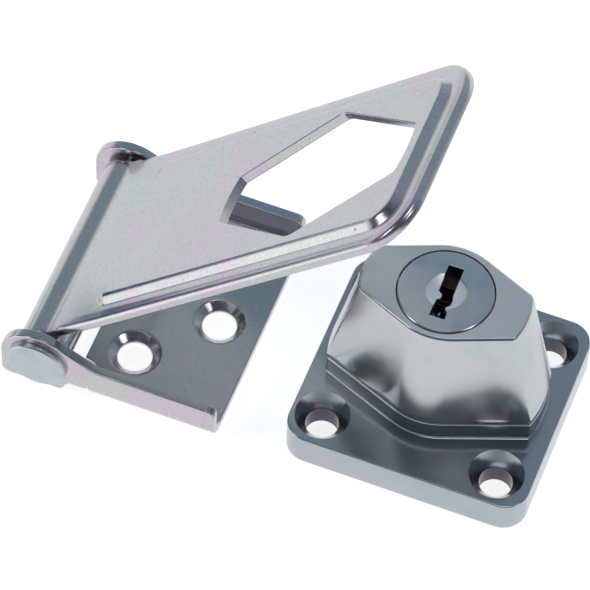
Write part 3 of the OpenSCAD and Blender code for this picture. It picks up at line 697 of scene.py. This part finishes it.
# Plated zinc, finer and duller than the head: blue grey with rings left by the tool,
# drawn wider apart than the real ones so that they show
plug_zinc, shader = new_finish("turned_plug_zinc")
place = add_node(plug_zinc, "ShaderNodeTexCoord").outputs["Object"]
centred = add_node(plug_zinc, "ShaderNodeMapping", Vector=place, Location=tuple(-lock_axis)).outputs[0]
faced_rings = add_node(plug_zinc, "ShaderNodeTexWave", {"wave_type": "RINGS", "rings_direction": "Z"},
                       Vector=centred, Scale=ring_scale(0.6042 * mm), Distortion=1.2, Detail=2.0)
plug_cloud = 5.556 * mm
cloud = add_node(plug_zinc, "ShaderNodeTexNoise", Vector=place, Scale=1 / plug_cloud, Detail=4.0)
plug_tone = add_node(plug_zinc, "ShaderNodeValToRGB", Fac=cloud.outputs["Fac"])
set_ramp(plug_tone, [(0.35, "#bfc9d0"), (0.5, "#c8d0d4"), (0.65, "#ced2d4")])
rubbed_part = add_node(plug_zinc, "ShaderNodeMath", {"operation": "MULTIPLY"},
                       _0=edge_mask(plug_zinc, 0.2 * mm), _1=0.6)
worn = add_node(plug_zinc, "ShaderNodeMix", {"data_type": "RGBA"},
                _0=rubbed_part.outputs[0], _6=plug_tone.outputs["Color"], _7=srgb("#e6e8e8"))
# The milled dish is painted near white, a painted highlight, and made duller than the plating
spot = add_node(plug_zinc, "ShaderNodeSeparateXYZ", Vector=centred)
flat_spot = add_node(plug_zinc, "ShaderNodeCombineXYZ", X=spot.outputs["X"], Y=spot.outputs["Y"])
from_axis = add_node(plug_zinc, "ShaderNodeVectorMath", {"operation": "LENGTH"}, _0=flat_spot.outputs[0])
in_dish = add_node(plug_zinc, "ShaderNodeMapRange", Value=from_axis.outputs["Value"], From_Min=3.0 * mm,
                   From_Max=3.15 * mm, To_Min=1.0, To_Max=0.0)
near_top = add_node(plug_zinc, "ShaderNodeMapRange", Value=spot.outputs["Z"], From_Min=29.6 * mm,
                    From_Max=29.9 * mm, To_Min=0.0, To_Max=1.0)
dish_painted_highlight_and_dull = add_node(plug_zinc, "ShaderNodeMath", {"operation": "MULTIPLY"},
                  _0=in_dish.outputs["Result"], _1=near_top.outputs["Result"])
dish_painted_highlight_mix = add_node(plug_zinc, "ShaderNodeMix", {"data_type": "RGBA"},
                 _0=dish_painted_highlight_and_dull.outputs[0], _6=worn.outputs[2], _7=srgb("#f6f9fc"))
plug_zinc.node_tree.links.new(dish_painted_highlight_mix.outputs[2], shader.inputs["Base Color"])
shader.inputs["Metallic"].default_value = 1.0
plug_dull = add_node(plug_zinc, "ShaderNodeMapRange", Value=cloud.outputs["Fac"],
                     From_Min=0.3, From_Max=0.7, To_Min=0.20, To_Max=0.30)
dish_dull = add_node(plug_zinc, "ShaderNodeMix", {"data_type": "FLOAT"}, _0=dish_painted_highlight_and_dull.outputs[0],
                     _2=plug_dull.outputs["Result"], _3=0.42)
plug_zinc.node_tree.links.new(dish_dull.outputs[0], shader.inputs["Roughness"])
facing_relief = add_node(plug_zinc, "ShaderNodeBump", Height=faced_rings.outputs["Fac"], Strength=0.06,
                         Distance=0.02 * mm)
plug_zinc.node_tree.links.new(facing_relief.outputs["Normal"], shader.inputs["Normal"])

lock_plug = merged_copy("lock_plug", "lock_plug_turned")
round_edges(lock_plug, 0.1 * mm, steps=2,
            wanted=lambda c: c.z > 30 * mm and 2.9 * mm < off_axis(c) < 7.3 * mm)
keep_flats_flat(lock_plug, crease=14)
dress(lock_plug, plug_zinc, "head", "plug_zinc", "lock_plug")

# Wafers: five brass stampings that slide across the plug; the top one shows at the
# bottom of the keyway. Each has a window for the key and a lug for its spring.
for number in range(1, 6):
    wafer = merged_copy(f"wafer_{number}", f"wafer_{number}_stamping")
    round_edges(wafer, 0.06 * mm, steps=2)
    keep_flats_flat(wafer)
    dress(wafer, brass, f"wafer_{number}", "brass", f"wafer_{number}")

# Wafer springs: five small coils of spring steel wire, each pushing its wafer's lug.

# Drawn and tempered wire: dark straw grey, smooth along its length.
spring_steel, shader = new_finish("tempered_spring_wire")
place = add_node(spring_steel, "ShaderNodeTexCoord").outputs["Object"]
scale_speck = 0.6667 * mm
scale_marks = add_node(spring_steel, "ShaderNodeTexNoise", Vector=place, Scale=1 / scale_speck, Detail=3.0)
wire_tone = add_node(spring_steel, "ShaderNodeValToRGB", Fac=scale_marks.outputs["Fac"])
set_ramp(wire_tone, [(0.35, "#8b8478"), (0.65, "#b5b2ac")])
spring_steel.node_tree.links.new(wire_tone.outputs["Color"], shader.inputs["Base Color"])
shader.inputs["Metallic"].default_value = 1.0
wire_dull = add_node(spring_steel, "ShaderNodeMapRange", Value=scale_marks.outputs["Fac"],
                     From_Min=0.3, From_Max=0.7, To_Min=0.25, To_Max=0.4)
spring_steel.node_tree.links.new(wire_dull.outputs["Result"], shader.inputs["Roughness"])
wire_relief = add_node(spring_steel, "ShaderNodeBump", Height=scale_marks.outputs["Fac"], Strength=0.08,
                       Distance=0.01 * mm)
spring_steel.node_tree.links.new(wire_relief.outputs["Normal"], shader.inputs["Normal"])

for number in range(1, 6):
    spring = merged_copy(f"wafer_spring_{number}", f"wafer_spring_{number}_wire")
    work_on(spring)
    bpy.ops.object.shade_smooth_by_angle(angle=math.radians(75))
    dress(spring, spring_steel, "head", "spring_steel", f"wafer_spring_{number}")

# Drive pin: a short hardened cross pin, pressed through the head's wall into the
# plug's collar so that the head turns with the key.
drive_pin = merged_copy("drive_pin", "drive_pin_cross")
round_edges(drive_pin, 0.12 * mm)
keep_flats_flat(drive_pin)
dress(drive_pin, rivet_steel, "head", "rivet_steel", "drive_pin")

# Cam plate: stamped steel, set on the plug's square tail under the base. Its lobe
# runs in the base's pocket and stops the head at both ends of the quarter turn.
cam_plate = merged_copy("cam_plate", "cam_plate_stamping")
round_edges(cam_plate, 0.12 * mm)
keep_flats_flat(cam_plate)
dress(cam_plate, rivet_steel, "head", "rivet_steel", "cam_plate")

# Retaining screw: a small cross-slotted steel screw, zinc plated like the rivet. It
# goes up into the plug's square tail and holds the cam plate on it.
retaining_screw = merged_copy("retaining_screw", "retaining_screw_steel")
round_edges(retaining_screw, 0.1 * mm)
keep_flats_flat(retaining_screw)
dress(retaining_screw, rivet_steel, "head", "rivet_steel", "retaining_screw")

# Studio: a round white cove, floor and low wall in one, under a dim ceiling with
# three large soft lamps. The wall fades upwards, so the metal mirrors no hard line.
deselect()
bpy.ops.mesh.primitive_circle_add(vertices=96, radius=1.5, fill_type="NGON", location=(0.02, 0, -0.0004))
cove = bpy.context.object
cove.name = "studio_cove"
bpy.ops.object.mode_set(mode="EDIT")
bpy.ops.mesh.select_mode(type="EDGE")
pick(cove, lambda c: c.length > 1.3, "edges")
for rise, spread in ((0.03, 1.06), (0.10, 1.04), (0.15, 1.02), (0.22, 1.0)):
    bpy.ops.mesh.extrude_edges_move(TRANSFORM_OT_translate={"value": (0, 0, rise)})
    bpy.ops.transform.resize(value=(spread, spread, 1))
# The wall is low in front, where the camera stands
pick(cove, lambda c: c.y < -0.4 and c.z > 0.4)
bpy.ops.transform.translate(value=(0, 0, -0.14))
bpy.ops.object.mode_set(mode="OBJECT")
bpy.ops.object.shade_smooth()
# Matt white paper: it glows for the eye of the camera and of the metal alone, so that
# it looks white and still takes the hasp's shadow
white_cove, shader = new_finish("white_cove_paper")
paths = add_node(white_cove, "ShaderNodeLightPath")
seen = add_node(white_cove, "ShaderNodeMath", {"operation": "ADD", "use_clamp": True},
                _0=paths.outputs["Is Camera Ray"], _1=paths.outputs["Is Glossy Ray"])
seen = add_node(white_cove, "ShaderNodeMath", {"operation": "ADD", "use_clamp": True},
                _0=seen.outputs[0], _1=paths.outputs["Is Transmission Ray"])
cove_place = add_node(white_cove, "ShaderNodeTexCoord").outputs["Object"]
rise_up = add_node(white_cove, "ShaderNodeMapRange", {"interpolation_type": "SMOOTHSTEP"}, From_Min=0.12,
                   From_Max=0.50, To_Min=0.66, To_Max=0.12,
                   Value=add_node(white_cove, "ShaderNodeSeparateXYZ", Vector=cove_place).outputs["Z"])
glow = add_node(white_cove, "ShaderNodeMath", {"operation": "MULTIPLY"}, _0=seen.outputs[0],
                _1=rise_up.outputs["Result"])
# The camera itself sees the paper a little brighter, as pure white
glow = add_node(white_cove, "ShaderNodeMath", {"operation": "MULTIPLY_ADD"},
                _0=paths.outputs["Is Camera Ray"], _1=0.12, _2=glow.outputs[0])
paper_mottle = 25 * mm
paper_cells = add_node(white_cove, "ShaderNodeTexNoise", Scale=1 / paper_mottle, Detail=2.0,
                       Vector=add_node(white_cove, "ShaderNodeTexCoord").outputs["Object"])
paper_tone = add_node(white_cove, "ShaderNodeValToRGB", Fac=paper_cells.outputs["Fac"])
set_ramp(paper_tone, [(0.3, "#dcdcdb"), (0.7, "#dededd")])
white_cove.node_tree.links.new(paper_tone.outputs["Color"], shader.inputs["Base Color"])
shader.inputs["Roughness"].default_value = 0.9
shader.inputs["Specular IOR Level"].default_value = 0.0
shader.inputs["Emission Color"].default_value = (1.0, 1.0, 1.0, 1.0)
white_cove.node_tree.links.new(glow.outputs[0], shader.inputs["Emission Strength"])
cove.data.materials.append(white_cove)

lamp_places = [("lamp_over", (0.10, -0.05, 1.5), 0.55, 2.2), ("lamp_left", (-1.0, -0.7, 1.05), 0.5, 2.2),
               ("lamp_right", (1.15, -0.3, 1.1), 0.5, 1.8)]
for lamp_name, lamp_at, lamp_size, lamp_power in lamp_places:
    light = bpy.data.lights.new(lamp_name, "AREA")
    light.shape = "DISK"
    light.size = lamp_size
    light.energy = lamp_power
    lamp = bpy.data.objects.new(lamp_name, light)
    bpy.context.scene.collection.objects.link(lamp)
    lamp.location = lamp_at
    lamp.rotation_euler = (-Vector(lamp_at)).to_track_quat("-Z", "Y").to_euler()
room = bpy.data.worlds.new("studio_room")
bpy.context.scene.world = room
room.use_nodes = True
sky = room.node_tree.nodes["Background"]
direction = add_node(room, "ShaderNodeTexCoord").outputs["Generated"]
depth = add_node(room, "ShaderNodeSeparateXYZ", Vector=direction).outputs["Y"]
back_share = add_node(room, "ShaderNodeMapRange", Value=depth, From_Min=-1.0, From_Max=1.0,
                      To_Min=0.0, To_Max=1.0)
ceiling = add_node(room, "ShaderNodeValToRGB", Fac=back_share.outputs["Result"])
set_ramp(ceiling, [(0.0, "#6c757c"), (0.25, "#484e55"), (0.40, "#444a52"), (0.55, "#5c6873"),
                   (0.68, "#7f8f9e"), (0.80, "#93a2b0"), (1.0, "#b2bbc3")])
room.node_tree.links.new(ceiling.outputs["Color"], sky.inputs["Color"])
sky.inputs["Strength"].default_value = 1.0

# Two cards lie on the floor to the left, out of the picture and seen by the metal
# alone: a dark blue one that draws the lines along the strap, and a bright one.


def floor_card(card_name, from_turn, to_turn, near, far, colour, brightness):
    """A flat sector of card on the floor, between two directions from the strap."""
    deselect()
    bpy.ops.mesh.primitive_circle_add(vertices=180, radius=far, fill_type="NGON", location=(0, 0, 0.0006))
    card = bpy.context.object
    card.name = card_name
    bpy.ops.object.mode_set(mode="EDIT")
    bpy.ops.mesh.select_all(action="SELECT")
    bpy.ops.mesh.inset(thickness=far - near, depth=0)
    bpy.ops.mesh.delete(type="FACE")
    for turn, side in ((from_turn, 1), (to_turn, -1)):
        angle = math.radians(turn)
        bpy.ops.mesh.select_all(action="SELECT")
        way_in = (-side * math.sin(angle), side * math.cos(angle), 0)
        bpy.ops.mesh.bisect(plane_co=(0, 0, 0), plane_no=way_in, clear_inner=True)
    bpy.ops.mesh.select_all(action="SELECT")
    bpy.ops.transform.translate(value=(0.02, -0.012, 0))
    bpy.ops.object.mode_set(mode="OBJECT")
    card_paper, card_shader = new_finish(card_name + "_paper")
    tooth = add_node(card_paper, "ShaderNodeTexNoise", Scale=1 / (33.333 * mm),
                     Vector=add_node(card_paper, "ShaderNodeTexCoord").outputs["Object"])
    grey = add_node(card_paper, "ShaderNodeMapRange", Value=tooth.outputs["Fac"],
                    To_Min=brightness * 0.97, To_Max=brightness * 1.03)
    card_shader.inputs["Base Color"].default_value = (0.0, 0.0, 0.0, 1.0)
    card_shader.inputs["Specular IOR Level"].default_value = 0.0
    card_shader.inputs["Emission Color"].default_value = srgb(colour)
    card_paper.node_tree.links.new(grey.outputs["Result"], card_shader.inputs["Emission Strength"])
    card.data.materials.append(card_paper)
    card.visible_camera = card.visible_diffuse = card.visible_shadow = card.visible_transmission = False


floor_card("blue_card", 158, 192, 0.10, 1.3, "#2f4470", 0.9)
floor_card("bright_card", 197, 226, 0.06, 1.3, "#ffffff", 1.4)

bpy.context.scene.view_settings.view_transform = "Standard"
